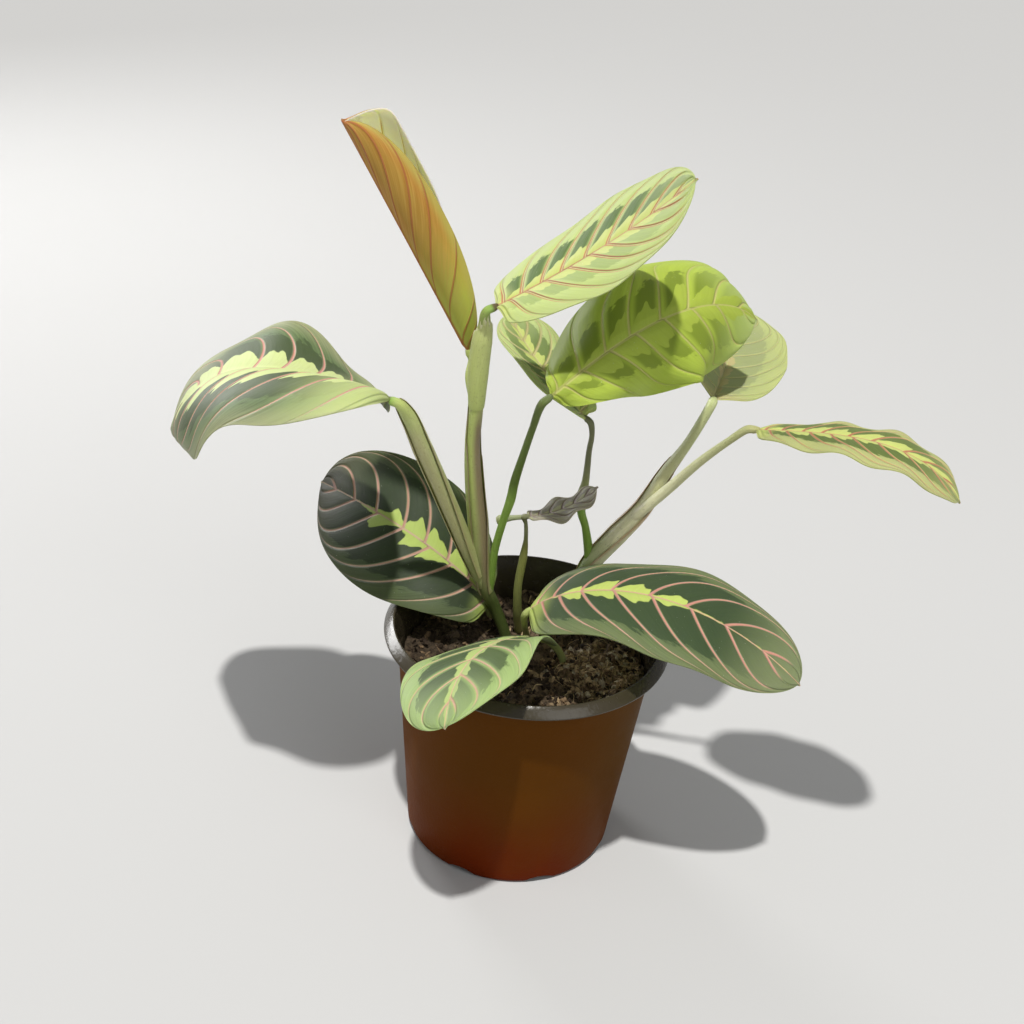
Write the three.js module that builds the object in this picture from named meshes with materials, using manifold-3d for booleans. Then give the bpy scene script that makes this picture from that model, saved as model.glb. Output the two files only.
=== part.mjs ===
// A red-veined prayer plant (maranta) growing in a brown plastic nursery pot.
// Millimetres, +Z up. The origin is the centre of the pot's underside, on the surface it stands on,
// and -Y is the front.

import * as THREE from 'three';
import { mergeVertices } from 'three/addons/utils/BufferGeometryUtils.js';
import Module from 'manifold-3d';

const wasm = await Module();
wasm.setup();

// ---------------------------------------------------------------- driving dimensions

const GAP = 0.3; // clearance between pieces that touch

const POT = {
  rimRadius: 60, // widest point of the lip, a 12 cm nursery pot
  height: 102, // underside to the top of the lip
  baseRadius: 44.5,
  neckRadius: 54, // outside of the wall just under the lip
  neckHeight: 94.5,
  wall: 1.1,
  floor: 1.4,
  footRise: 2.5, // height of the rounded bottom corner
  lipRise: 6.3, // height of the lip's sloping band
  lipMouth: 55.6, // inside edge of the mouth
  sides: 48,
};

const SLOTS = { count: 8, halfWidth: 6.5, rise: 3, inner: 38, firstAngle: 22.5 };

const SOIL = { level: 86, rings: 7, sectors: 36 };

const BLADE = { thickness: 0.8, rootHalfWidth: 0.9, rootGap: 0.6, rows: 16, columns: 8 };

const STEM_SIDES = 8;
const SOIL_DEPTH = 14; // how far the stems reach down into the soil

// Each open leaf is one blade that leaves its stem at the point `at`, heading around +Z from +X and
// pitched above the horizon, and that turns, droops and rolls along its length. Two values in a
// pair are for the root and the tip, or for the half on the left and on the right of its travel.
// fold lifts the halves from the midrib, curl bends them on, and wave is [height, count, phase].
const LEAVES = {
  upper_right: {
    at: [-25, -2, 244.5], heading: 15, turn: -42, pitch: [28, 50], bend: 0.75, length: 91, width: 51,
    roll: [5, -32], fold: [7, 3], curl: [-2, -20], belly: 0.95, wave: [0.5, 2.7, 0.35],
  },
  mid_right: {
    at: [-1, -17.5, 217], heading: 31, turn: 17, pitch: [36, -39], bend: 1.6, length: 112, width: 65,
    roll: [-52, -54], fold: [-13, -3], curl: [-50, -50], belly: 1.48, wave: [9, 2.28, -0.09],
  },
  far_right: {
    at: [81, 5.5, 201.5], heading: -16, turn: -4, pitch: [12, -54], bend: 2.6, length: 86, width: 48,
    roll: [10, 2], fold: [2, 5], curl: [-17, -10], belly: 0.92, wave: [1.2, 3.6, -0.28], lobe: 2,
  },
  back_right: {
    at: [65, 35, 198.5], heading: 78.5, turn: 2, pitch: [2, 10], bend: 1, length: 80, width: 50,
    roll: [-8, -19], fold: [20, 11], curl: [39, 8], belly: 0.94, wave: [1, 2.7, 0.16],
  },
  behind: {
    at: [14, 31, 186], heading: 159, turn: -39, pitch: [34, 27], bend: 1, length: 56, width: 31.5,
    roll: [-12, 7], fold: [11, 10], curl: [9, 7], belly: 0.93, wave: [1.3, 1.7, -0.13],
  },
  front_right: {
    at: [0, -11, 117], heading: 1.5, turn: -26.5, pitch: [57, -32.5], bend: 0.5, length: 121, width: 65,
    roll: [10, -11], fold: [2.5, 2.5], curl: [-16, -24], belly: 0.84, wave: [1.1, 2.5, 0.5],
  },
  front_left: {
    at: [6, -9.5, 102.4], heading: 225, turn: 47.5, pitch: [27, -12.5], bend: 1.1, length: 96, width: 53,
    roll: [-18, -32.5], fold: [4, 3], curl: [-13, -16], belly: 1.25, wave: [3.6, 1.3, 0.43],
  },
  low_left: {
    at: [-18, 18, 98], heading: 176.5, turn: -52, pitch: [67, -16], bend: 0.57, length: 107, width: 62,
    roll: [-12, 46], fold: [-5.5, 9], curl: [-35, 4.5], belly: 0.97, wave: [2.8, 1, 0],
  },
  upper_left: {
    at: [-62, -15, 207], heading: 169, turn: -29.5, pitch: [12, -70], bend: 1.3, length: 125, width: 88,
    roll: [-66, 23], fold: [-10, 21.5], curl: [-76, 1], belly: 0.7, wave: [3.1, 2.32, -0.02], lobe: 2,
  },
  young: {
    at: [-5, 10, 148.5], heading: 20, turn: 3, pitch: [0, 45], bend: 1.15, length: 31.5, width: 18,
    roll: [8, 2], fold: [4, 5], curl: [-13, -8], belly: 0.96, wave: [1.7, 2.2, -0.12], lobe: 1,
  },
  rolled: {
    at: [-34.7, 9.5, 220], heading: 188.5, turn: 0, pitch: [59.5, 59], bend: 1, length: 102,
    width: [43, 48], roll: [1, -6], fold: [13, 11.5], curl: [135, 150], belly: [1.15, 3.4],
    blunt: [2.2, 7], wave: [0, 1, 0], lobe: 0,
  },
};

const COLOURS = {
  pot: 0x6b3410,
  soil: 0x2c211a,
  stem: 0x8fa352,
  open: 0x5f8f3e,
  rolled: 0x9c7a34,
};

// ---------------------------------------------------------------- solids

// Gives a geometry's merged points and its triangles as a manifold solid.
function toSolid(geometry) {
  const bare = geometry.clone();
  for (const name of Object.keys(bare.attributes)) {
    if (name !== 'position') bare.deleteAttribute(name);
  }
  const merged = mergeVertices(bare, 1e-3);
  const index = merged.index.array;
  const triVerts = [];
  for (let i = 0; i < index.length; i += 3) {
    const [a, b, c] = [index[i], index[i + 1], index[i + 2]];
    if (a !== b && b !== c && c !== a) triVerts.push(a, b, c);
  }
  return new wasm.Manifold(new wasm.Mesh({
    numProp: 3,
    vertProperties: new Float32Array(merged.attributes.position.array),
    triVerts: new Uint32Array(triVerts),
  }));
}

function toGeometry(solid) {
  const { vertProperties, triVerts } = solid.getMesh();
  return gridGeometry(Array.from(vertProperties), Array.from(triVerts));
}

function gridGeometry(positions, triangles) {
  const geometry = new THREE.BufferGeometry();
  geometry.setAttribute('position', new THREE.Float32BufferAttribute(positions, 3));
  geometry.setIndex(triangles);
  geometry.computeVertexNormals();
  return geometry;
}

const join = (geometries) => toGeometry(geometries.map(toSolid).reduce((a, b) => a.add(b)));

const cut = (geometry, tools) => toGeometry(
  tools.map(toSolid).reduce((solid, tool) => solid.subtract(tool), toSolid(geometry)),
);

// ---------------------------------------------------------------- leaf blades

const radians = THREE.MathUtils.degToRad;
const between = ([a, b], t) => a + (b - a) * t;

// Direction of the midrib at t, from 0 at the root to 1 at the tip.
function travel(leaf, t) {
  const heading = radians(leaf.heading + leaf.turn * t);
  const pitch = radians(between(leaf.pitch, t ** leaf.bend));
  return new THREE.Vector3(
    Math.cos(pitch) * Math.cos(heading), Math.cos(pitch) * Math.sin(heading), Math.sin(pitch),
  );
}

// A place on the blade's middle surface: t along the midrib, s from -1 to 1 across it.
function bladePoint(leaf, t, s) {
  const steps = 40;
  const point = new THREE.Vector3(...leaf.at);
  for (let k = 0; k < steps; k += 1) {
    point.addScaledVector(travel(leaf, (t * (k + 0.5)) / steps), (leaf.length * t) / steps);
  }
  const along = travel(leaf, t);
  const heading = radians(leaf.heading + leaf.turn * t);
  const roll = radians(between(leaf.roll, t));
  const right = new THREE.Vector3(Math.sin(heading), -Math.cos(heading), 0);
  const side = right.clone().applyAxisAngle(along, -roll);
  const up = side.clone().cross(along);

  const half = s < 0 ? 0 : 1;
  const reach = Math.abs(s);
  const own = (value) => (Array.isArray(value) ? value[half] : value);
  const taper = Math.abs(2 * t ** own(leaf.belly) - 1) ** own(leaf.blunt ?? 2.2);
  const outline = Math.max(0, 1 - taper) ** 0.55;
  const width = Math.max((outline * own(leaf.width)) / 2, BLADE.rootHalfWidth);
  const start = radians(leaf.fold[half]);
  const curl = radians(leaf.curl[half]);
  const across = (width * (Math.sin(start + curl * reach) - Math.sin(start))) / curl;
  const [waveHeight, waveCount, wavePhase] = leaf.wave;
  const ripple = Math.sin(2 * Math.PI * (waveCount * t + wavePhase) + (half ? 0 : 0.7 * Math.PI));
  const rise = (width * (Math.cos(start) - Math.cos(start + curl * reach))) / curl
    + waveHeight * s * s * ripple * Math.sqrt(Math.sin(Math.PI * Math.min(t, 1)) + 1e-9);
  const shoulder = (t / 0.1) ** 2 * Math.exp(2 - (2 * t) / 0.1);
  const lobe = (leaf.lobe ?? 5) * s * s * shoulder; // rounded shoulders at the root
  const nib = 1.6 * Math.exp(-((s / 0.3) ** 2)) * t ** 18; // small point at the tip
  return point
    .addScaledVector(side, Math.sign(s) * across)
    .addScaledVector(up, rise)
    .addScaledVector(along, nib - lobe);
}

// A blade is a grid of places raised by half its thickness on either face, both split alike.
function bladeGeometry(leaf) {
  const { rows, columns, thickness } = BLADE;
  const place = (i, j) => {
    const t = 0.5 - 0.5 * Math.cos((Math.PI * i) / rows);
    return [t, (2 * j) / columns - 1];
  };
  const positions = [];
  for (const face of [1, -1]) {
    for (let i = 0; i <= rows; i += 1) {
      for (let j = 0; j <= columns; j += 1) {
        const [t, s] = place(i, j);
        const e = 0.02;
        const [t0, t1] = [Math.max(t - e, 0), Math.min(t + e, 1)];
        const [s0, s1] = [Math.max(s - e, -1), Math.min(s + e, 1)];
        const ahead = bladePoint(leaf, t1, s).sub(bladePoint(leaf, t0, s));
        const beside = bladePoint(leaf, t, s1).sub(bladePoint(leaf, t, s0));
        const normal = beside.cross(ahead).normalize();
        const point = bladePoint(leaf, t, s).addScaledVector(normal, (face * thickness) / 2);
        positions.push(point.x, point.y, point.z);
      }
    }
  }
  const stride = columns + 1;
  const under = (rows + 1) * stride;
  const triangles = [];
  for (let i = 0; i < rows; i += 1) {
    for (let j = 0; j < columns; j += 1) {
      const [a, b] = [i * stride + j, i * stride + j + 1];
      const [c, d] = [a + stride, b + stride];
      triangles.push(a, b, d, a, d, c);
      triangles.push(under + a, under + d, under + b, under + a, under + c, under + d);
    }
  }
  const wallBetween = (a, b) => triangles.push(a, under + a, under + b, a, under + b, b);
  for (let j = 0; j < columns; j += 1) {
    wallBetween(j, j + 1);
    wallBetween(rows * stride + j + 1, rows * stride + j);
  }
  for (let i = 0; i < rows; i += 1) {
    wallBetween((i + 1) * stride, i * stride);
    wallBetween(i * stride + columns, (i + 1) * stride + columns);
  }
  return gridGeometry(positions, triangles);
}

// ---------------------------------------------------------------- stems

// The last stretch of a stem lines up with the leaf that it carries.
function petioleEnd(name, radius, reach = 4) {
  const leaf = LEAVES[name];
  const root = new THREE.Vector3(...leaf.at);
  const back = travel(leaf, 0);
  const at = (distance, r) => [...root.clone().addScaledVector(back, -distance).toArray(), r];
  return [at(reach, radius * 1.15), at(BLADE.rootGap, radius)];
}

// A closed tube through [x, y, z, radius] points, with `grow` added to its radius and its foot.
function limbGeometry(route, grow = 0) {
  const stepsPerSpan = 3;
  const points = route.map(([x, y, z]) => new THREE.Vector3(x, y, z));
  points[0].addScaledVector(points[1].clone().sub(points[0]).normalize(), -grow);
  const curve = new THREE.CatmullRomCurve3(points);
  const rings = (route.length - 1) * stepsPerSpan;
  const positions = [];
  let side = new THREE.Vector3(1, 0.2, 0.1);
  for (let i = 0; i <= rings; i += 1) {
    const t = i / rings;
    const centre = curve.getPoint(t);
    const along = curve.getTangent(t);
    side = side.clone().addScaledVector(along, -side.dot(along)).normalize();
    const other = along.clone().cross(side);
    const span = Math.min(Math.floor(i / stepsPerSpan), route.length - 2);
    const radius = between([route[span][3], route[span + 1][3]], i / stepsPerSpan - span) + grow;
    for (let k = 0; k < STEM_SIDES; k += 1) {
      const angle = (2 * Math.PI * k) / STEM_SIDES;
      const point = centre.clone()
        .addScaledVector(side, radius * Math.cos(angle))
        .addScaledVector(other, radius * Math.sin(angle));
      positions.push(...point.toArray());
    }
  }
  const triangles = [];
  for (let i = 0; i < rings; i += 1) {
    for (let k = 0; k < STEM_SIDES; k += 1) {
      const [a, b] = [i * STEM_SIDES + k, i * STEM_SIDES + ((k + 1) % STEM_SIDES)];
      triangles.push(a, b, b + STEM_SIDES, a, b + STEM_SIDES, a + STEM_SIDES);
    }
  }
  const last = rings * STEM_SIDES;
  for (let k = 1; k < STEM_SIDES - 1; k += 1) {
    triangles.push(0, k + 1, k, last, last + k, last + k + 1);
  }
  return gridGeometry(positions, triangles);
}

// Routes of the stems and petioles. Those that stand in the soil start SOIL_DEPTH below its level.
const foot = (x, y, radius) => [x, y, SOIL.level - SOIL_DEPTH, radius];

const ROUTES = {
  shoot_main: [
    [foot(-6, 14, 2.4), [-9, 14, 86, 2.4], [-15, 14.5, 100, 2.6], [-20, 13, 111, 3.2],
      [-23, 11, 129, 3.4], [-25.2, 10, 144, 3.6], [-27.9, 8, 163, 3.2], [-29.6, 6, 181, 2.7],
      [-29.6, 4, 197, 2.8], [-30, 3, 213, 3.4], [-29.5, 2, 228, 3.2], [-29, 1.5, 234, 2.6],
      ...petioleEnd('upper_right', 1.3)],
    [[-29.8, 3, 200, 2.2], [-33, 7, 210, 2.2], ...petioleEnd('rolled', 1.6)],
    [[-20, 13, 110, 2.8], [-28, 9, 129, 3.1], [-35, 4, 147.5, 3.3], [-42, -2, 166.5, 3.3],
      [-48.5, -8, 184, 3.3], [-54.5, -13, 200, 2.8], ...petioleEnd('upper_left', 1.5)],
    [[-18, 13, 108, 1.8], [-17.5, 11, 120, 1.6], [-17, 9, 132, 1.6], [-14.5, 4.5, 149.5, 1.6],
      [-12.5, 1, 160.5, 1.9], [-11.5, -2, 171, 1.8], [-9, -6.5, 186, 1.5], [-6.5, -11, 200, 1.4],
      ...petioleEnd('mid_right', 1.3)],
  ],
  shoot_right: [
    [foot(10, 35, 2.6), [14, 34, 88, 2.8], [19.5, 30, 106, 3.2], [23.5, 27, 119.5, 3.8],
      [33, 26, 135.5, 4], [42, 26, 149.5, 3.4], [49.5, 28, 166, 2.6], [57.5, 30, 181, 2],
      ...petioleEnd('back_right', 1.6)],
    [[38, 25, 144, 2.4], [51, 21, 162.5, 2.2], [61.5, 14.5, 180, 1.8], [71, 9, 193.5, 1.5],
      ...petioleEnd('far_right', 1.3)],
    [[23.5, 26.5, 119, 2.4], [21.5, 27, 128.5, 1.9], [19.3, 27, 137.5, 1.6], [17, 27, 144, 1.8],
      [16.5, 28, 151, 2.3], [17.2, 29, 157, 1.6], [17.3, 30, 162, 1.4], [17.2, 30.5, 171, 1.2],
      [17.5, 30, 179, 1.1], ...petioleEnd('behind', 1.1, 3)],
  ],
  petiole_young: [
    [foot(-3.5, 22, 1.8), [-4, 20, 86, 1.8], [-5, 15.5, 97, 1.9], [-6, 12.5, 113, 1.7],
      [-5, 11.3, 129, 1.7], [-4.8, 11, 137, 0.9], [-5.5, 10.3, 145, 0.8],
      ...petioleEnd('young', 1, 1.6)],
    [[-6, 10.1, 148.2, 1], [-11, 10, 147.2, 1.1], [-14.5, 10, 146.2, 1.6], [-16.2, 10, 145.5, 2.2],
      [-17.6, 10, 145, 1.4]],
  ],
  petiole_front_right: [
    [foot(1.5, 15, 1.5), [0.5, 12, 86, 1.5], [-1, 2, 99, 1.3], ...petioleEnd('front_right', 1.2, 3)],
  ],
  petiole_front_left: [
    [foot(17, 0, 1.6), [17, -3.5, 86, 1.6], [14, -4.5, 94, 1.5], ...petioleEnd('front_left', 1.3)],
  ],
  petiole_low_left: [
    [foot(-13, 32, 1.8), [-13, 29, 86, 1.8], ...petioleEnd('low_left', 1.5)],
  ],
};

// ---------------------------------------------------------------- pot and soil

// A thin wall from the floor to the lip, which is folded out and down over the neck.
function potGeometry() {
  const { rimRadius, height, baseRadius, neckRadius, neckHeight, wall, floor, lipRise } = POT;
  const lipFoot = height - lipRise;
  const profile = [
    [0, 0], [baseRadius - 2.5, 0], [baseRadius - 0.7, POT.footRise * 0.3],
    [baseRadius, POT.footRise], [neckRadius, neckHeight], [neckRadius + 0.6, height - 2.8],
    [rimRadius - 1.2, lipFoot - 0.5], [rimRadius, lipFoot + 0.3], [POT.lipMouth + 1.6, height - 0.3],
    [POT.lipMouth + 0.6, height], [POT.lipMouth, height - 0.6],
    [neckRadius - wall, neckHeight], [baseRadius - wall, floor + 2.4],
    [baseRadius - 3.4, floor], [0, floor],
  ].map(([r, z]) => new THREE.Vector2(r, z));
  const shell = new THREE.LatheGeometry(profile, POT.sides);
  shell.rotateX(Math.PI / 2);
  const slots = [];
  for (let k = 0; k < SLOTS.count; k += 1) {
    const length = POT.baseRadius + 4 - SLOTS.inner;
    const slot = new THREE.CylinderGeometry(SLOTS.halfWidth, SLOTS.halfWidth, length, 24);
    slot.rotateZ(Math.PI / 2);
    slot.scale(1, 1, SLOTS.rise / SLOTS.halfWidth);
    slot.translate(SLOTS.inner + length / 2, 0, 0);
    slot.rotateZ(radians(SLOTS.firstAngle + (360 / SLOTS.count) * k));
    slots.push(slot);
  }
  return cut(shell, slots);
}

function wallInside(z) {
  const slope = (POT.neckRadius - POT.baseRadius) / (POT.neckHeight - POT.footRise);
  return POT.baseRadius - POT.wall + slope * (z - POT.footRise);
}

// Height of the lumpy surface, with a raised crumbly clump to the front right.
function soilHeight(x, y) {
  const lumps = 1.5 * Math.sin(0.19 * x + 0.6) * Math.sin(0.17 * y - 0.5)
    + 1.0 * Math.sin(0.36 * x - 0.23 * y + 1.3) + 0.7 * Math.sin(0.31 * y + 0.45 * x);
  const clump = 4 * Math.exp(-(((x - 32) / 16) ** 2) - (((y + 5) / 12) ** 2));
  return SOIL.level + lumps + clump;
}

function soilGeometry() {
  const { rings, sectors } = SOIL;
  const bottom = POT.floor + GAP;
  const positions = [0, 0, soilHeight(0, 0)];
  for (let i = 1; i <= rings; i += 1) {
    for (let k = 0; k < sectors; k += 1) {
      const angle = (2 * Math.PI * k) / sectors;
      const radius = ((wallInside(SOIL.level - 4) - 0.8) * i) / rings;
      const [x, y] = [radius * Math.cos(angle), radius * Math.sin(angle)];
      positions.push(x, y, soilHeight(x, y));
    }
  }
  const lowerRims = [[wallInside(bottom + 4.5) - 0.8, bottom + 4.5], [POT.baseRadius - 5, bottom]];
  for (const [radius, z] of lowerRims) {
    for (let k = 0; k < sectors; k += 1) {
      const angle = (2 * Math.PI * k) / sectors;
      positions.push(radius * Math.cos(angle), radius * Math.sin(angle), z);
    }
  }
  positions.push(0, 0, bottom);
  const triangles = [];
  const bands = rings + lowerRims.length;
  for (let k = 0; k < sectors; k += 1) {
    const next = (k + 1) % sectors;
    triangles.push(0, 1 + k, 1 + next);
    for (let i = 0; i < bands - 1; i += 1) {
      const [a, b] = [1 + i * sectors + k, 1 + i * sectors + next];
      triangles.push(a, a + sectors, b + sectors, a, b + sectors, b);
    }
    const lowest = 1 + (bands - 1) * sectors;
    triangles.push(lowest + next, lowest + k, 1 + bands * sectors);
  }
  const standing = Object.values(ROUTES).map(([route]) => limbGeometry(route, GAP));
  return cut(gridGeometry(positions, triangles), standing);
}

// ---------------------------------------------------------------- the plant in its pot

const plant = new THREE.Group();

function addPiece(name, geometry, color, roughness = 0.5) {
  const material = new THREE.MeshStandardMaterial({ color, roughness, metalness: 0 });
  const mesh = new THREE.Mesh(geometry, material);
  mesh.name = name;
  plant.add(mesh);
}

addPiece('pot', potGeometry(), COLOURS.pot, 0.45);
addPiece('soil', soilGeometry(), COLOURS.soil, 0.95);
for (const [name, routes] of Object.entries(ROUTES)) {
  addPiece(name, join(routes.map((route) => limbGeometry(route))), COLOURS.stem);
}
for (const [name, leaf] of Object.entries(LEAVES)) {
  addPiece(`leaf_${name}`, bladeGeometry(leaf), COLOURS[name] ?? COLOURS.open);
}

export default plant;
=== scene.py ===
from math import cos, pi, radians, sin

import bpy
import numpy as np
from mathutils import Matrix, Vector, noise


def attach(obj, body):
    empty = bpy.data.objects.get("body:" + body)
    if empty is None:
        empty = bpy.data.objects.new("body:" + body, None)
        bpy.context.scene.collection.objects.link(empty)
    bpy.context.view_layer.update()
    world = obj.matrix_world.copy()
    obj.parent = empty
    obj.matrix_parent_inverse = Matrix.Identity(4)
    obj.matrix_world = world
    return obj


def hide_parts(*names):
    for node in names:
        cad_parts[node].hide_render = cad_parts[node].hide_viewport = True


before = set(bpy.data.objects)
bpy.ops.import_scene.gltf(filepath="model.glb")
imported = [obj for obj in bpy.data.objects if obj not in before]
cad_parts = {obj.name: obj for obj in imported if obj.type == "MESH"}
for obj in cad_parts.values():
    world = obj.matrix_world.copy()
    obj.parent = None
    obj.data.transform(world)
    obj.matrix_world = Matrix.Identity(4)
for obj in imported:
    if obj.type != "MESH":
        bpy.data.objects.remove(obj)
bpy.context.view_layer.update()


# ------------------------------------------------------------------ camera and light
# The plant is seen from the front, from a little above its leaves, with the camera tipped sideways.
# One hard lamp stands high in front, soft boxes fill in from the sides and edge the leaves from
# behind, and one more box gives nothing but the gleam on the pot's lip.

MM = 0.001
YAW, PITCH, TIP = radians(-1.1), radians(29.7), radians(5.8)
CAMERA_AT = Vector((0, -595, 495)) * MM
FOCAL_PIXELS, PICTURE_PIXELS, SENSOR_WIDTH = 1700, 1024, 36
ahead = Vector((sin(YAW) * cos(PITCH), cos(YAW) * cos(PITCH), -sin(PITCH)))
level_right = Vector((cos(YAW), -sin(YAW), 0))
level_up = level_right.cross(ahead)
view_right = level_right * cos(TIP) + level_up * sin(TIP)
view_up = level_up * cos(TIP) - level_right * sin(TIP)

camera = bpy.data.objects.new("camera", bpy.data.cameras.new("camera"))
camera.data.sensor_width = SENSOR_WIDTH
camera.data.lens = SENSOR_WIDTH * FOCAL_PIXELS / PICTURE_PIXELS
place = Matrix((view_right, view_up, -ahead)).transposed().to_4x4()
place.translation = CAMERA_AT
camera.matrix_world = place
bpy.context.scene.collection.objects.link(camera)
bpy.context.scene.camera = camera

PLANT_MIDDLE = Vector((0, 0, 160)) * MM
SKY_STRENGTH = 0.25


def add_lamp(name, kind, towards, strength, **settings):
    """A lamp that shines on the plant's middle from (degrees to the right of the front, degrees
    up, metres away)."""
    around, height, away = radians(towards[0]), radians(towards[1]), towards[2]
    lamp = bpy.data.objects.new(name, bpy.data.lights.new(name, kind))
    lamp.data.energy = strength
    for setting, value in settings.items():
        setattr(lamp.data, setting, value)
    direction = Vector((cos(height) * sin(around), -cos(height) * cos(around), sin(height)))
    lamp.location = direction * away + PLANT_MIDDLE
    lamp.rotation_euler = direction.to_track_quat("Z", "Y").to_euler()
    bpy.context.scene.collection.objects.link(lamp)
    return lamp


add_lamp("key_lamp", "SUN", (-10, 72, 2), 3.2, angle=radians(2), color=(1, 0.985, 0.95))
add_lamp("left_box", "AREA", (-78, 34, 1.1), 0.5, size=0.5)
add_lamp("right_box", "AREA", (38, 34, 1.4), 3.4, size=0.8)
add_lamp("rim_box", "AREA", (-143, 24, 1.1), 3.0, size=0.3)
gloss_box = add_lamp("gloss_box", "AREA", (-127, 14, 1.1), 8.5, size=0.5)
gloss_box.visible_diffuse = False

world = bpy.data.worlds.new("studio")
world.use_nodes = True
world.node_tree.nodes["Background"].inputs["Color"].default_value = (1, 1, 1, 1)
world.node_tree.nodes["Background"].inputs["Strength"].default_value = SKY_STRENGTH
bpy.context.scene.world = world
bpy.context.scene.view_settings.view_transform = "Standard"


# ------------------------------------------------------------------ pot
# A thin flexible nursery pot, blown from two-layer plastic: brown outside and grey inside. Its lip
# is folded out and down, so that the grey shows there, and its foot has arched drain slots.

class Tone:
    """One socket of a finish. An expression on tones and numbers adds its Math nodes."""

    def __init__(self, finish, socket):
        self.finish, self.socket = finish, socket

    def math(self, operation, *values):
        """A Math node on this tone and the values."""
        return self.finish.node("Math", {"operation": operation}, dict(enumerate((self, *values))))

    def other(self, output):
        """Another output of the node that this tone comes from."""
        return Tone(self.finish, self.socket.node.outputs[output])

    def __add__(self, value):
        return self.math("ADD", value)

    def __sub__(self, value):
        return self.math("SUBTRACT", value)

    def __rsub__(self, value):
        return self.finish.node("Math", {"operation": "SUBTRACT"}, {0: value, 1: self})

    def __mul__(self, value):
        return self.math("MULTIPLY", value)

    def __truediv__(self, value):
        return self.math("DIVIDE", value)

    def __abs__(self):
        return self.math("ABSOLUTE")

    __radd__, __rmul__ = __add__, __mul__

    def rise(self, start, end):
        """Goes smoothly from 0 where the tone is `start` to 1 where it is `end`."""
        return self.finish.node(
            "MapRange", {"interpolation_type": "SMOOTHSTEP"},
            {"Value": self, "From Min": start, "From Max": end})


class Finish:
    """A material that is built up node by node round one Principled surface."""

    def __init__(self, name, **constants):
        self.material = bpy.data.materials.new(name)
        self.material.use_nodes = True
        self.tree = self.material.node_tree
        self.surface = self.tree.nodes["Principled BSDF"]
        for socket, value in constants.items():
            self.feed(self.surface.inputs[socket.replace("_", " ")], value)

    def feed(self, socket, value):
        """Links a tone to the socket, or sets it to a number or a colour."""
        if isinstance(value, Tone):
            self.tree.links.new(value.socket, socket)
        elif isinstance(value, (tuple, list)) and len(value) < len(socket.default_value):
            socket.default_value = (*value, 1)
        else:
            socket.default_value = value

    def node(self, kind, settings=None, inputs=None, output=0):
        """Any node: its settings first, then its inputs, and the tone of one output."""
        made = self.tree.nodes.new("ShaderNode" + kind)
        for setting, value in (settings or {}).items():
            setattr(made, setting, value)
        for socket, value in (inputs or {}).items():
            self.feed(made.inputs[socket], value)
        return Tone(self, made.outputs[output])

    def mix(self, factor, low, high, blend="MIX"):
        """The colour `low` where the factor is 0 and `high` where it is 1."""
        return self.node(
            "Mix", {"data_type": "RGBA", "blend_type": blend}, {0: factor, 6: low, 7: high}, 2)

    def places(self):
        """Object coordinates, in metres."""
        return self.node("TexCoord", output="Object")

    def mottle(self, scale, detail=3, vector=None, roughness=0.5):
        """Fractal noise from 0 to 1."""
        return self.node(
            "TexNoise", {}, {"Vector": vector or self.places(), "Scale": scale, "Detail": detail,
                             "Roughness": roughness})

    def paint(self, colour, roughness, height=None, depth=0):
        """Feeds the surface its colour, roughness and relief, which is `depth` metres high."""
        self.feed(self.surface.inputs["Base Color"], colour)
        self.feed(self.surface.inputs["Roughness"], roughness)
        if height is not None:
            bump = self.node("Bump", {}, {"Height": height, "Distance": depth, "Strength": 1})
            self.feed(self.surface.inputs["Normal"], bump)
        return self.material


POT_BASE, POT_FOOT, POT_NECK = 42, (44.5, 2.5), (54, 94.5)
WALL_THICKNESS, FLOOR_TOP, LIP_BOTTOM = 1.1, 1.2, 97
POT_WALL = [  # radius and height, up the outside, over the lip and down the inside
    (43.0, 0.2), (43.8, 0.75), (44.3, 1.6), POT_FOOT, (49.2, 48), POT_NECK, (54.2, 96),
    (54.8, 97.2), (56.6, 97.4), (58.6, 97.3), (59.4, 97.4), (59.9, 97.7), (60, 98.2),
    (59.7, 98.7), (58.8, 99.65), (57.9, 100.6), (57.1, 101.45), (56.4, 101.9), (55.8, 101.8),
    (55.6, 101.2), (55.2, 99.6), (52.9, POT_NECK[1]), (48.1, 48), (43.4, 3.8), (42.8, 2.2),
    (41.1, 1.4),
]
POT_SIDES = 144
SLOT_COUNT, SLOT_HALF_WIDTH, SLOT_RISE, SLOT_FIRST = 8, 6.5, 3, 22.5
SLOT_INNER, SLOT_OUTER = 38, POT_FOOT[0] + 4


def start_piece():
    """Deselects everything, so that the next operator acts on one new piece."""
    bpy.ops.object.select_all(action="DESELECT")


def edit_whole():
    """Opens the active piece in edit mode with all of it selected."""
    bpy.ops.object.mode_set(mode="EDIT")
    bpy.ops.mesh.select_all(action="SELECT")


def close_outwards():
    """Turns every face outwards and leaves edit mode."""
    bpy.ops.mesh.select_all(action="SELECT")
    bpy.ops.mesh.normals_make_consistent(inside=False)
    bpy.ops.object.mode_set(mode="OBJECT")


def set_finishes(piece, *finishes):
    """Gives the piece its materials, in the order of its faces' material numbers."""
    piece.data.materials.clear()
    for finish in finishes:
        piece.data.materials.append(finish)


start_piece()
bpy.ops.mesh.primitive_circle_add(vertices=POT_SIDES, radius=POT_BASE * MM, fill_type="NGON")
pot = bpy.context.object
pot.name = "pot_shell"
edit_whole()
reach, height = POT_BASE, 0
for next_reach, next_height in POT_WALL:
    bpy.ops.mesh.extrude_region_move(
        TRANSFORM_OT_translate={"value": (0, 0, (next_height - height) * MM)})
    grow = next_reach / reach
    bpy.ops.transform.resize(value=(grow, grow, 1), center_override=(0, 0, next_height * MM))
    reach, height = next_reach, next_height
close_outwards()

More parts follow.
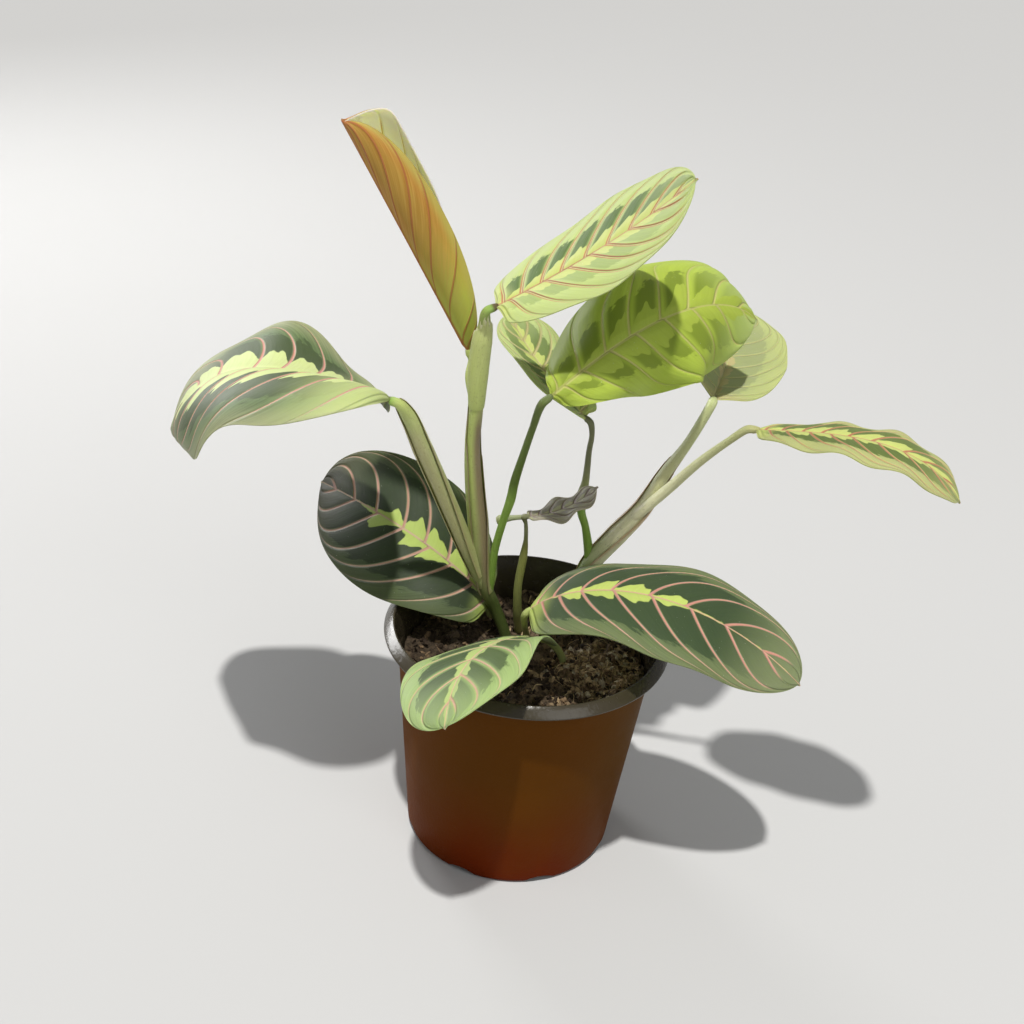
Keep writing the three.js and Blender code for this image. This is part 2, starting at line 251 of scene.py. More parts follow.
slot_length = SLOT_OUTER - SLOT_INNER
cutters = []
for k in range(SLOT_COUNT):
    angle = radians(SLOT_FIRST + 360 / SLOT_COUNT * k)
    start_piece()
    bpy.ops.mesh.primitive_cylinder_add(
        vertices=32, radius=SLOT_HALF_WIDTH * MM, depth=slot_length * MM, rotation=(0, pi / 2, 0))
    cutter = bpy.context.object
    bpy.ops.object.transform_apply(location=False, rotation=True, scale=False)
    cutter.scale = (1, 1, SLOT_RISE / SLOT_HALF_WIDTH)
    middle = (SLOT_INNER + slot_length / 2) * MM
    cutter.location = (middle * cos(angle), middle * sin(angle), 0)
    cutter.rotation_euler = (0, 0, angle)
    cutters.append(cutter)
for cutter in cutters:
    cutter.select_set(True)
bpy.ops.object.join()
cutter = bpy.context.object
start_piece()
bpy.context.view_layer.objects.active = pot
pot.select_set(True)
slots = pot.modifiers.new("slots", "BOOLEAN")
slots.operation, slots.object, slots.solver = "DIFFERENCE", cutter, "EXACT"
bpy.ops.object.modifier_apply(modifier="slots")
bpy.data.objects.remove(cutter)

brown = Finish("pot_brown", IOR=1.5, Specular_IOR_Level=0.035)
from_left = brown.node("SeparateXYZ", {}, {0: brown.places()})
lower = (from_left.other(2) + brown.mottle(22, 2) * 0.03).rise(0.075, 0.01)
clay = brown.mix(lower, (0.1, 0.034, 0.002), (0.125, 0.015, 0.001))
# Painted light: the wall is painted brighter and more orange towards the left, as if lit softly from that
# side.
clay = brown.mix(from_left.rise(-0.015, -0.055) * 0.7, clay, (0.15, 0.046, 0.003))
# Painted reflection: the wall is painted olive towards the right, the green of the leaves mirrored in it.
clay = brown.mix(from_left.rise(0.02, 0.055) * 0.5, clay, (0.09, 0.046, 0.006))
clay = brown.mix(brown.mottle(35, 4).rise(0.4, 0.8) * 0.25, clay, (0.135, 0.045, 0.003))
scuffs = brown.mottle(420, 5).rise(0.66, 0.8)
clay = brown.mix(scuffs * 0.1, clay, (0.2, 0.08, 0.02))
brown.paint(
    clay, roughness=0.46 + brown.mottle(60, 4) * 0.16,
    height=brown.mottle(900, 2) * 0.25 + brown.mottle(45, 2), depth=0.0005)

grey = Finish("pot_grey", IOR=1.5, Specular_IOR_Level=0.5)
ash = grey.mix(grey.mottle(70, 4), (0.034, 0.027, 0.015), (0.05, 0.041, 0.024))
dust = grey.mottle(300, 5).rise(0.58, 0.75)
ash = grey.mix(dust * 0.4, ash, (0.03, 0.022, 0.014))
grey.paint(ash, roughness=0.22 + dust * 0.3, height=grey.mottle(500, 3), depth=0.0001)

set_finishes(pot, brown.material, grey.material)
for face in pot.data.polygons:
    x, y, z = face.center / MM
    share = (z - POT_FOOT[1]) / (POT_NECK[1] - POT_FOOT[1])
    wall_here = POT_FOOT[0] + (POT_NECK[0] - POT_FOOT[0]) * share
    inside = (x * x + y * y) ** 0.5 < wall_here - WALL_THICKNESS / 2 and z > FLOOR_TOP
    face.material_index = 1 if inside or z > LIP_BOTTOM else 0
bpy.ops.object.shade_smooth_by_angle(angle=radians(38))
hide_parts("pot")
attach(pot, "root")


# ------------------------------------------------------------------ soil
# Dark potting mix of peat and bark, pressed down round the stems and crumbling on top, with a paler
# clump at the front right that is painted paler still as painted sunlight, and painted darker at the
# left as painted shade. The crumbs, bark chips and straws that lie loose on it are one more piece.

SOIL_LEVEL, SOIL_REACH, SOIL_CELLS = 86, 50.8, 230
SOIL_SIDE = [(SOIL_REACH, 80), (43.4, 7), (39.5, 1.8)]
CLUMP_TOP, CLUMP_MIDDLE = (32, -5), (32, -6)
rng = np.random.default_rng(seed=7)


def soil_height(x, y):
    """Soft heaps over the whole pot in mm, with the pale clump on top."""
    lumps = 1.5 * sin(0.19 * x + 0.6) * sin(0.17 * y - 0.5)
    lumps += 1.0 * sin(0.36 * x - 0.23 * y + 1.3) + 0.7 * sin(0.31 * y + 0.45 * x)
    clump = 4 * np.exp(-((x - CLUMP_TOP[0]) / 16) ** 2 - ((y - CLUMP_TOP[1]) / 12) ** 2)
    return SOIL_LEVEL + lumps + clump


def soil_grain(x, y):
    """Crumbs and hollows in mm: cells of two sizes over soft heaps."""
    near = noise.voronoi(Vector((x, y, 3)) / 3.4)[0]
    fine = noise.voronoi(Vector((x + 40, y, 9)) / 1.5)[0]
    heaps = noise.fractal(Vector((x, y, 1)) / 7, 0.9, 2.1, 4)
    return 1.6 * (near[1] - near[0]) + 0.6 * (fine[1] - fine[0]) + 1.5 * heaps - 1


start_piece()
bpy.ops.mesh.primitive_grid_add(x_subdivisions=SOIL_CELLS, y_subdivisions=SOIL_CELLS, size=2)
soil = bpy.context.object
soil.name = "soil_body"
for point in soil.data.vertices:
    a, b = point.co.x, point.co.y
    x = a * (1 - b * b / 2) ** 0.5 * SOIL_REACH
    y = b * (1 - a * a / 2) ** 0.5 * SOIL_REACH
    point.co = Vector((x, y, soil_height(x, y) + soil_grain(x, y))) * MM
bpy.ops.object.mode_set(mode="EDIT")
bpy.ops.mesh.select_all(action="DESELECT")
bpy.ops.mesh.select_non_manifold()
reach = SOIL_REACH
for next_reach, next_height in SOIL_SIDE:
    bpy.ops.mesh.extrude_region_move()
    bpy.ops.transform.resize(value=(1, 1, 0), center_override=(0, 0, next_height * MM))
    grow = next_reach / reach
    bpy.ops.transform.resize(value=(grow, grow, 1), center_override=(0, 0, next_height * MM))
    reach = next_reach
bpy.ops.mesh.edge_face_add()
close_outwards()
bpy.ops.object.shade_smooth_by_angle(angle=radians(60))

peat = Finish("potting_mix", Specular_IOR_Level=0.25)
spread = peat.node("SeparateXYZ", {}, {0: peat.places()})
to_clump_x, to_clump_y = spread - CLUMP_MIDDLE[0] * MM, spread.other(1) - CLUMP_MIDDLE[1] * MM
clump = (to_clump_x * to_clump_x + to_clump_y * to_clump_y).rise(0.0004, 0.00003)
grain = peat.mottle(520, 6, roughness=0.7)
crumb = peat.node("TexVoronoi", {}, {"Vector": peat.places(), "Scale": 330}, 1)
earth = peat.mix(grain.rise(0.3, 0.75), (0.03, 0.02, 0.011), (0.22, 0.155, 0.095))
earth = peat.mix(peat.node("RGBToBW", {}, {0: crumb}).rise(0.66, 0.8) * 0.6, earth,
                 (0.36, 0.26, 0.15))
# Partly painted light: the clump's own golden colour is pushed paler still, as painted sunlight on the
# front right.
earth = peat.mix(clump * grain.rise(0.42, 0.6) * 0.9, earth, (0.75, 0.55, 0.3))
# Painted shade: the left part of the soil is painted darker, where the leaves above shade it.
earth = peat.mix(spread.rise(0.01, -0.03) * 0.6, earth, (0.02, 0.014, 0.009))
peat.paint(earth, roughness=0.82 + grain * 0.15,
           height=grain + peat.mottle(1500, 4) * 0.4, depth=0.0012)
set_finishes(soil, peat.material)
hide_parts("soil")
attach(soil, "root")

start_piece()
bpy.ops.mesh.primitive_cube_add(size=1)
seed_crumb = bpy.context.object
edit_whole()
bpy.ops.mesh.subdivide(number_cuts=1)
bpy.ops.object.mode_set(mode="OBJECT")
crumb_points = np.array([v.co for v in seed_crumb.data.vertices])
crumb_points = crumb_points / np.linalg.norm(crumb_points, axis=1)[:, None] * MM
crumb_faces = [tuple(f.vertices) for f in seed_crumb.data.polygons]
bpy.data.objects.remove(seed_crumb)
DARK_BARK, RED_BARK, TAN_BARK = (0.05, 0.033, 0.02), (0.24, 0.16, 0.09), (0.58, 0.42, 0.24)
STRAW, GRIT = (0.75, 0.57, 0.32), (0.68, 0.58, 0.42)
CRUMB_COUNT, STRAW_COUNT, STRAW_LINKS, LOOSE_REACH = 1150, 230, 6, 49


def scatter_place(near_clump):
    """A spot for a loose bit in mm, round the pale clump or anywhere on the soil."""
    if near_clump:
        return rng.normal(CLUMP_MIDDLE[0], 9), rng.normal(CLUMP_MIDDLE[1], 10)
    away, angle = LOOSE_REACH * rng.random() ** 0.5, rng.random() * 2 * pi
    return away * cos(angle), away * sin(angle)


points, faces, tones_with_painted_light = [], [], []
for k in range(CRUMB_COUNT):
    near_clump = k % 3 == 0
    x, y = scatter_place(near_clump)
    if x * x + y * y > LOOSE_REACH ** 2:
        continue
    chip = k % 7 == 1
    size = rng.uniform(0.9, 2.0) if chip else rng.uniform(0.45, 1.35) * (1.2 if near_clump else 1)
    flat = (1.5, 0.9, 0.28) if chip else (1, 1, 0.8)
    stretch = np.array([rng.uniform(0.8, 1.5), rng.uniform(0.7, 1.2), rng.uniform(0.7, 1)]) * flat
    turn = np.array(Matrix.Rotation(rng.random() * 6, 3, Vector(rng.normal(size=3)).normalized()))
    lump = crumb_points * (1 + 0.24 * rng.normal(size=(len(crumb_points), 1)))
    lump = (lump * stretch * size) @ turn.T
    at = np.array([x, y, soil_height(x, y) + soil_grain(x, y) + 0.3 * size]) * MM
    # Painted light and shade: crumbs round the clump are painted paler as painted sunlight, and crumbs on
    # the left half darker as painted shade, on top of each crumb's own random tone.
    paleness = rng.random() + (0.45 if near_clump else -0.1 if x > 0 else -0.35)
    dye = GRIT if paleness > 1.2 else TAN_BARK if paleness > 0.8 else RED_BARK
    dye = DARK_BARK if paleness < 0.4 else dye
    faces += [tuple(v + len(points) for v in face) for face in crumb_faces]
    points += [tuple(p) for p in lump + at]
    tones_with_painted_light += [(*dye, 1)] * len(lump)

for k in range(STRAW_COUNT):
    x, y = scatter_place(k % 4 > 0)
    heading, bend, length = rng.random() * 2 * pi, rng.uniform(-1.2, 1.2), rng.uniform(3, 9)
    if (x * x + y * y) ** 0.5 + length > LOOSE_REACH:
        continue
    thick, start = rng.uniform(0.12, 0.28), len(points)
    pace, arch = length / STRAW_LINKS, 0.9 if k % 3 == 0 else 0
    for ring in range(STRAW_LINKS + 1):
        x, y = x + pace * cos(heading), y + pace * sin(heading)
        heading += bend / STRAW_LINKS
        lift = soil_height(x, y) + soil_grain(x, y) + 0.35 + arch * sin(pi * ring / STRAW_LINKS)
        taper = thick * (0.4 if ring in (0, STRAW_LINKS) else 1)
        for corner in range(4):
            over, up = cos(corner * pi / 2), sin(corner * pi / 2)
            spot = (x - sin(heading) * over * taper, y + cos(heading) * over * taper, lift + up * taper)
            points.append(tuple(v * MM for v in spot))
            tones_with_painted_light.append((*(STRAW if k % 5 else RED_BARK), 1))
    for link in range(STRAW_LINKS):
        low, high = start + link * 4, start + link * 4 + 4
        for corner in range(4):
            after = (corner + 1) % 4
            faces.append((low + corner, low + after, high + after, high + corner))
    end = start + STRAW_LINKS * 4
    faces += [(start + 3, start + 2, start + 1, start), (end, end + 1, end + 2, end + 3)]
crumb_mesh = bpy.data.meshes.new("soil_crumbs")
crumb_mesh.from_pydata(points, [], faces)
tone_light_layer = crumb_mesh.attributes.new("dye", "FLOAT_COLOR", "POINT")
tone_light_layer.data.foreach_set("color", np.array(tones_with_painted_light, np.float32).ravel())
crumbs = bpy.data.objects.new("soil_crumbs", crumb_mesh)
bpy.context.scene.collection.objects.link(crumbs)

bark = Finish("bark_bits", Specular_IOR_Level=0.25)
flecks = bark.mottle(900, 5)
# Each bit's own tone, which for the crumbs also carries their painted sunlight and painted shade.
dye = bark.node("Attribute", {"attribute_name": "dye"})
husk = bark.mix(flecks.rise(0.3, 0.7), dye, (0.12, 0.09, 0.06), "MULTIPLY")
husk = bark.mix(0.55, dye, husk)
bark.paint(husk, roughness=0.8 + flecks * 0.15, height=flecks, depth=0.0005)
set_finishes(crumbs, bark.material)
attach(crumbs, "root")


# ------------------------------------------------------------------ stems
# Each shoot is a round juicy stem wrapped in the sheaths that its leaf stalks grow from. A sheath's
# open edge runs up the stem, and a short dark joint sits where the stalk meets its leaf.

# Each leaf's place and form, in mm and degrees. `at` is its root, where its stalk ends. The midrib
# leaves the root towards `heading` and turns by `turn`, its `pitch` above level goes from root to
# tip, late where `bend` is above 1, and so does the `roll` of the blade about it. The halves, left
# and right, leave the midrib at `fold` and curl up by `curl` more at the margin. The blade is
# widest past its middle where `belly` is above 1, and full-ended where `blunt` is. `wave` is the
# margin's (height, count, phase), and `lobe` how far the halves reach back beside the stalk.
LEAVES = {
    "upper_right": dict(
        at=(-25, -2, 244.5), heading=15, turn=-42, pitch=(28, 50), bend=0.75, length=91, width=51,
        roll=(5, -32), fold=(7, 3), curl=(-2, -20), belly=0.95, wave=(0.5, 2.7, 0.35)),
    "mid_right": dict(
        at=(-1, -17.5, 217), heading=31, turn=17, pitch=(36, -39), bend=1.6, length=112, width=65,
        roll=(-52, -54), fold=(-13, -3), curl=(-50, -50), belly=1.48, wave=(9, 2.28, -0.09)),
    "far_right": dict(
        at=(81, 5.5, 201.5), heading=-16, turn=-4, pitch=(12, -54), bend=2.6, length=86, width=48,
        roll=(10, 2), fold=(2, 5), curl=(-17, -10), belly=0.92, wave=(1.2, 3.6, -0.28), lobe=2),
    "back_right": dict(
        at=(65, 35, 198.5), heading=78.5, turn=2, pitch=(2, 10), bend=1, length=80, width=50,
        roll=(-8, -19), fold=(20, 11), curl=(39, 8), belly=0.94, wave=(1, 2.7, 0.16)),
    "behind": dict(
        at=(14, 31, 186), heading=159, turn=-39, pitch=(34, 27), bend=1, length=56, width=31.5,
        roll=(-12, 7), fold=(11, 10), curl=(9, 7), belly=0.93, wave=(1.3, 1.7, -0.13)),
    "front_right": dict(
        at=(0, -11, 117), heading=1.5, turn=-26.5, pitch=(57, -32.5), bend=0.5, length=121,
        width=65, roll=(10, -11), fold=(2.5, 2.5), curl=(-16, -24), belly=0.84,
        wave=(1.1, 2.5, 0.5)),
    "front_left": dict(
        at=(6, -9.5, 102.4), heading=225, turn=47.5, pitch=(27, -12.5), bend=1.1, length=96,
        width=53, roll=(-18, -32.5), fold=(4, 3), curl=(-13, -16), belly=1.25,
        wave=(3.6, 1.3, 0.43)),
    "low_left": dict(
        at=(-18, 18, 98), heading=176.5, turn=-52, pitch=(67, -16), bend=0.57, length=107,
        width=62, roll=(-12, 46), fold=(-5.5, 9), curl=(-35, 4.5), belly=0.97, wave=(2.8, 1, 0)),
    "upper_left": dict(
        at=(-62, -15, 207), heading=169, turn=-29.5, pitch=(12, -70), bend=1.3, length=125,
        width=88, roll=(-66, 23), fold=(-10, 21.5), curl=(-76, 1), belly=0.7,
        wave=(3.1, 2.32, -0.02), lobe=2),
    "young": dict(
        at=(-5, 10, 148.5), heading=20, turn=3, pitch=(0, 45), bend=1.15, length=31.5, width=18,
        roll=(8, 2), fold=(4, 5), curl=(-13, -8), belly=0.96, wave=(1.7, 2.2, -0.12), lobe=1),
    "rolled": dict(
        at=(-34.7, 9.5, 220), heading=188.5, turn=0, pitch=(59.5, 59), bend=1, length=102,
        width=(43, 48), roll=(1, -6), fold=(13, 11.5), curl=(135, 150), belly=(1.15, 3.4),
        blunt=(2.2, 7), wave=(0, 1, 0), lobe=0),
}


def travel(leaf, t):
    """Direction of a leaf's midrib at t, from 0 at the root to 1 at the tip."""
    heading = np.radians(leaf["heading"] + leaf["turn"] * t)
    start, end = leaf["pitch"]
    pitch = np.radians(start + (end - start) * t ** leaf["bend"])
    return np.stack(
        [np.cos(pitch) * np.cos(heading), np.cos(pitch) * np.sin(heading), np.sin(pitch)], -1)


def stalk_end(name, radius, reach=4):
    """The last stretch of a stalk lines up with its leaf and ends just inside the leaf's root."""
    root, ahead = np.array(LEAVES[name]["at"]), travel(LEAVES[name], np.array(0.0))
    joint = [(*(root - ahead * reach * k), radius * swell) for k, swell in ((1, 1.28), (0.3, 1.2))]
    return joint + [(*(root + ahead * 0.9), radius * 0.75)]


def smooth_route(stations, steps):
    """Points, travel directions and radii along a smooth curve through [x, y, z, radius]."""
    marks = np.array(stations, float)
    ends = np.vstack([2 * marks[0] - marks[1], marks, 2 * marks[-1] - marks[-2]])[:, :3]
    rows = []
    for k in range(len(marks) - 1):
        p0, p1, p2, p3 = ends[k:k + 4]
        d0, d1, d2 = (max(np.linalg.norm(b - a) ** 0.5, 1e-4) for a, b in ((p0, p1), (p1, p2), (p2, p3)))
        leave = ((p1 - p0) / d0 - (p2 - p0) / (d0 + d1) + (p2 - p1) / d1) * d1
        arrive = ((p2 - p1) / d1 - (p3 - p1) / (d1 + d2) + (p3 - p2) / d2) * d1
        for step in range(steps + (k == len(marks) - 2)):
            w = step / steps
            bend = -3 * p1 + 3 * p2 - 2 * leave - arrive
            close = 2 * p1 - 2 * p2 + leave + arrive
            point = p1 + leave * w + bend * w * w + close * w ** 3
            rows.append((*point, marks[k, 3] + (marks[k + 1, 3] - marks[k, 3]) * w))
    rows = np.array(rows)
    heading = np.gradient(rows[:, :3], axis=0)
    return rows[:, :3], heading / np.linalg.norm(heading, axis=1)[:, None], rows[:, 3]


def rings_along(headings):
    """Two directions across the route at each point, carried along without twist."""
    side, sides = np.array([1, 0.2, 0.1]), []
    for along in headings:
        side = side - along * (side @ along)
        side = side / np.linalg.norm(side)
        sides.append(side)
    sides = np.array(sides)
    return sides, np.cross(headings, sides)


def add_grid(name, rows, columns, places, uv):
    """A grid primitive whose points are laid at `places`, in mm, with its own map."""
    start_piece()
    bpy.ops.mesh.primitive_grid_add(x_subdivisions=columns - 1, y_subdivisions=rows - 1, size=1)
    piece = bpy.context.object
    piece.name = name
    piece.data.vertices.foreach_set("co", (places.reshape(-1, 3) * MM).ravel())
    corners = np.empty(len(piece.data.loops), int)
    piece.data.loops.foreach_get("vertex_index", corners)
    piece.data.uv_layers[0].data.foreach_set("uv", uv.reshape(-1, 2)[corners].ravel())
    return piece


def store_tint(piece, colours):
    """Keeps a colour for each point of the piece."""
    opaque = np.ones(colours.shape[:-1] + (1,))
    layer = piece.data.attributes.new("tint", "FLOAT_COLOR", "POINT")
    layer.data.foreach_set("color", np.concatenate([colours, opaque], -1).astype(np.float32).ravel())


STEM_SIDES, STEM_STEPS = 28, 10
SHEATH_ROWS, SHEATH_COLUMNS, SHEATH_THICKNESS = 60, 36, 0.22
SHEATH_WRAP, SHEATH_SWING = 300, 40


def shades_between(stops, t):
    """Colours for each t from stops of (t, colour)."""
    marks = [stop[0] for stop in stops]
    return np.stack([np.interp(t, marks, [stop[1][k] for stop in stops]) for k in range(3)], -1)


def add_limb(name, stations, shades, flush=None):
    """A stem: `shades` colours it from foot to end, and flush = (direction, colour, start, end)
    stains the side that faces that direction."""
    points, headings, radii = smooth_route(stations, STEM_STEPS)
    sides, others = rings_along(headings)
    rows = len(points)
    t = np.linspace(0, 1, rows)
    around = np.linspace(0, 2 * pi, STEM_SIDES + 1)
    out = sides[:, None] * np.cos(around)[:, None] + others[:, None] * np.sin(around)[:, None]
    radii[0] *= 0.7
    radii[-1] *= 0.6
    ribs = 1 + 0.012 * np.sin(9 * around)
    places = points[:, None] + out * (radii[:, None] * ribs)[..., None]
    lengths = np.concatenate([[0], np.cumsum(np.linalg.norm(np.diff(points, axis=0), axis=1))])
    uv = np.stack(np.broadcast_arrays(lengths[:, None] / 100, around / (2 * pi)), -1)
    limb = add_grid(name, rows, STEM_SIDES + 1, places, uv)
    colours = np.repeat(shades_between(shades, t)[:, None], STEM_SIDES + 1, axis=1)
    if flush:
        direction, stain, start, end = flush
        facing = np.clip(out @ (np.array(direction) / np.linalg.norm(direction)) * 1.6 - 0.2, 0, 1)
        along = np.clip((t - start) / 0.06, 0, 1) * np.clip((end - t) / 0.06, 0, 1)
        share = (facing * along[:, None])[..., None]
        colours = colours * (1 - share) + np.array(stain) * share
    store_tint(limb, colours)
    edit_whole()
    bpy.ops.mesh.remove_doubles(threshold=1e-6)
    bpy.ops.mesh.select_all(action="DESELECT")
    bpy.ops.mesh.select_non_manifold()
    bpy.ops.mesh.fill_holes(sides=0)
    close_outwards()
    bpy.ops.object.shade_smooth_by_angle(angle=radians(60))
    return limb


def add_sheath(name, stations, start, end, facing, shade, edge, swell=0.5):
    """A thin sheath round a stretch of stem, from start to end of its length. Its open edges face
    the angle `facing` at the bottom and swing round the stem on the way up."""
    points, headings, radii = smooth_route(stations, STEM_STEPS)
    sides, others = rings_along(headings)
    t = np.linspace(0, 1, len(points))
    w = np.linspace(0, 1, SHEATH_ROWS)
    across = np.linspace(-1, 1, SHEATH_COLUMNS)
    top = end - (end - start) * 0.38 * np.abs(across) ** 1.5
    top = top + 0.012 * np.sin(23 * across) + 0.008 * np.sin(61 * across)
    at = start + (top - start)[None] * w[:, None]
    opening = across[None] * SHEATH_WRAP / 2 * (1 - 0.22 * w[:, None])
    angle = np.radians(facing + 180 + SHEATH_SWING * w[:, None] + opening)

    def along(values):
        return np.stack([np.interp(at, t, values[:, k]) for k in range(3)], -1)

    centre, side, other = along(points), along(sides), along(others)
    radius = np.interp(at, t, radii) + 0.12 + swell * np.sin(pi * w)[:, None] ** 0.6
    radius = radius + 0.25 * w[:, None] ** 3 + 0.25 * np.abs(across[None]) ** 6
    out = side * np.cos(angle)[..., None] + other * np.sin(angle)[..., None]
    uv = np.stack(np.broadcast_arrays(at, (across[None] + 1) / 2), -1)
    sheath = add_grid(name, SHEATH_ROWS, SHEATH_COLUMNS, centre + out * radius[..., None], uv)
    mouth = np.clip((w[:, None] - 0.93) / 0.07, 0, 1)
    rim = np.clip(np.abs(across)[None] ** 14 + mouth, 0, 1)[..., None]
    store_tint(sheath, shades_between(shade, w)[:, None] * (1 - rim) + np.array(edge) * rim)
    shell = sheath.modifiers.new("shell", "SOLIDIFY")
    shell.thickness, shell.offset = SHEATH_THICKNESS * MM, 0
    bpy.ops.object.modifier_apply(modifier="shell")
    edit_whole()
    close_outwards()
    bpy.ops.object.shade_smooth_by_angle(angle=radians(60))
    return sheath


def join_pieces(name, pieces):
    """Makes one piece of several."""
    start_piece()
    for piece in pieces:
        piece.select_set(True)
    bpy.context.view_layer.objects.active = pieces[0]
    bpy.ops.object.join()
    bpy.context.object.name = name
    return bpy.context.object


sap = Finish("stem_skin", Specular_IOR_Level=0.45, Subsurface_Weight=0.12,
             Subsurface_Radius=(0.9, 1.0, 0.4), Subsurface_Scale=0.0012)
tint = sap.node("Attribute", {"attribute_name": "tint"})
grain_map = sap.node("Mapping", {}, {"Vector": sap.node("TexCoord", output="UV"),
                                     "Scale": (6, 22, 1)})
fibre = sap.mottle(4, 4, grain_map)
speck = sap.mottle(900, 3).rise(0.58, 0.7)
skin = sap.mix(fibre.rise(0.35, 0.7) * 0.4, tint, (0.75, 0.78, 0.55), "MULTIPLY")
skin = sap.mix(speck * 0.25, skin, (0.16, 0.12, 0.05))
sap.paint(skin, roughness=0.36 + fibre * 0.2, height=fibre, depth=0.00025)

LIME_STEM, OLIVE_STEM, DEEP_STEM = (0.5, 0.58, 0.18), (0.34, 0.37, 0.15), (0.06, 0.085, 0.018)
CREAM_STEM, PLUM_STEM, FRESH_STEM = (0.86, 0.83, 0.58), (0.28, 0.22, 0.13), (0.27, 0.44, 0.08)
PEACH_STEM, GREY_STEM, JOINT_BROWN = (0.66, 0.42, 0.22), (0.2, 0.21, 0.11), (0.12, 0.085, 0.03)
FOOT_DEPTH = 14


def foot(x, y, radius):
    """A stem's first station, sunk in the soil."""
    return (x, y, SOIL_LEVEL - FOOT_DEPTH, radius)


TALL = [foot(-6, 14, 2.4), (-9, 14, 86, 2.4), (-15, 14.5, 100, 2.6), (-20, 13, 111, 3.2),
        (-23, 11, 129, 3.4), (-25.2, 10, 144, 3.6), (-27.9, 8, 163, 3.2), (-29.6, 6, 181, 2.7),
        (-29.6, 4, 197, 2.8), (-30, 3, 213, 3.4), (-29.5, 2, 228, 3.2), (-29, 1.5, 234, 2.6),
        *stalk_end("upper_right", 1.3)]
TO_ROLLED = [(-29.8, 3, 200, 2.2), (-33, 7, 210, 2.2), *stalk_end("rolled", 1.6)]
LEFT = [(-20, 13, 110, 2.8), (-28, 9, 129, 3.1), (-35, 4, 147.5, 3.3), (-42, -2, 166.5, 3.3),
        (-48.5, -8, 184, 3.3), (-54.5, -13, 200, 2.8), *stalk_end("upper_left", 1.5)]
THIN = [(-18, 13, 108, 1.8), (-17.5, 11, 120, 1.6), (-17, 9, 132, 1.6), (-14.5, 4.5, 149.5, 1.6),
        (-12.5, 1, 160.5, 1.9), (-11.5, -2, 171, 1.8), (-9, -6.5, 186, 1.5), (-6.5, -11, 200, 1.4),
        *stalk_end("mid_right", 1.3)]
RIGHT = [foot(10, 35, 2.6), (14, 34, 88, 2.8), (19.5, 30, 106, 3.2), (23.5, 27, 119.5, 3.8),
         (33, 26, 135.5, 4), (42, 26, 149.5, 3.4), (49.5, 28, 166, 2.6), (57.5, 30, 181, 2),
         *stalk_end("back_right", 1.6)]
FAR = [(38, 25, 144, 2.4), (51, 21, 162.5, 2.2), (61.5, 14.5, 180, 1.8), (71, 9, 193.5, 1.5),
       *stalk_end("far_right", 1.3)]
BEHIND = [(23.5, 26.5, 119, 2.4), (21.5, 27, 128.5, 1.9), (19.3, 27, 137.5, 1.6),
          (17, 27, 144, 1.8), (16.5, 28, 151, 2.3), (17.2, 29, 157, 1.6), (17.3, 30, 162, 1.4),
          (17.2, 30.5, 171, 1.2), (17.5, 30, 179, 1.1), *stalk_end("behind", 1.1, 3)]
YOUNG = [foot(-3.5, 22, 1.8), (-4, 20, 86, 1.8), (-5, 15.5, 97, 1.9), (-6, 12.5, 113, 1.7),
         (-5, 11.3, 129, 1.7), (-4.8, 11, 137, 0.9), (-5.5, 10.3, 145, 0.8),
         *stalk_end("young", 1, 1.6)]
BUD = [(-6, 10.1, 148.2, 1), (-11, 10, 147.2, 1.1), (-14.5, 10, 146.2, 1.6),
       (-16.2, 10, 145.5, 2.2), (-17.6, 10, 145, 1.4)]
FRONT_RIGHT = [foot(1.5, 15, 1.5), (0.5, 12, 86, 1.5), (-1, 2, 99, 1.3),
               *stalk_end("front_right", 1.2, 3)]
FRONT_LEFT = [foot(17, 0, 1.6), (17, -3.5, 86, 1.6), (14, -4.5, 94, 1.5),
              *stalk_end("front_left", 1.3)]
LOW_LEFT = [foot(-13, 32, 1.8), (-13, 29, 86, 1.8), *stalk_end("low_left", 1.5)]

main_shoot = [
    add_limb("tall_stem", TALL, [
        (0, DEEP_STEM), (0.17, DEEP_STEM), (0.3, OLIVE_STEM), (0.45, LIME_STEM), (0.8, LIME_STEM),
        (0.9, FRESH_STEM), (0.94, JOINT_BROWN), (1, JOINT_BROWN)],
        flush=((1, -0.35, 0), PLUM_STEM, 0.2, 0.6)),
    add_limb("rolled_stalk", TO_ROLLED, [(0, LIME_STEM), (1, LIME_STEM)]),
    add_limb("left_stem", LEFT, [
        (0, OLIVE_STEM), (0.5, (0.5, 0.53, 0.25)), (0.75, LIME_STEM), (0.9, FRESH_STEM),
        (0.96, JOINT_BROWN), (1, JOINT_BROWN)], flush=((-0.4, -1, 0.2), (0.5, 0.48, 0.25), 0.1, 0.6)),
    add_limb("thin_stalk", THIN, [
        (0, FRESH_STEM), (0.4, FRESH_STEM), (0.5, (0.1, 0.16, 0.02)), (1, (0.14, 0.18, 0.05))]),
    add_sheath("tall_sheath", TALL, 0.2, 0.62, 250, [(0, OLIVE_STEM), (1, LIME_STEM)], PLUM_STEM),
    add_sheath("upper_sheath", TALL, 0.58, 0.84, 60, [(0, LIME_STEM), (1, (0.6, 0.64, 0.26))], CREAM_STEM),
    add_sheath("left_sheath", LEFT, 0.05, 0.86, 240, [
        (0, (0.4, 0.42, 0.18)), (1, (0.54, 0.56, 0.25))], (0.4, 0.34, 0.18)),
]
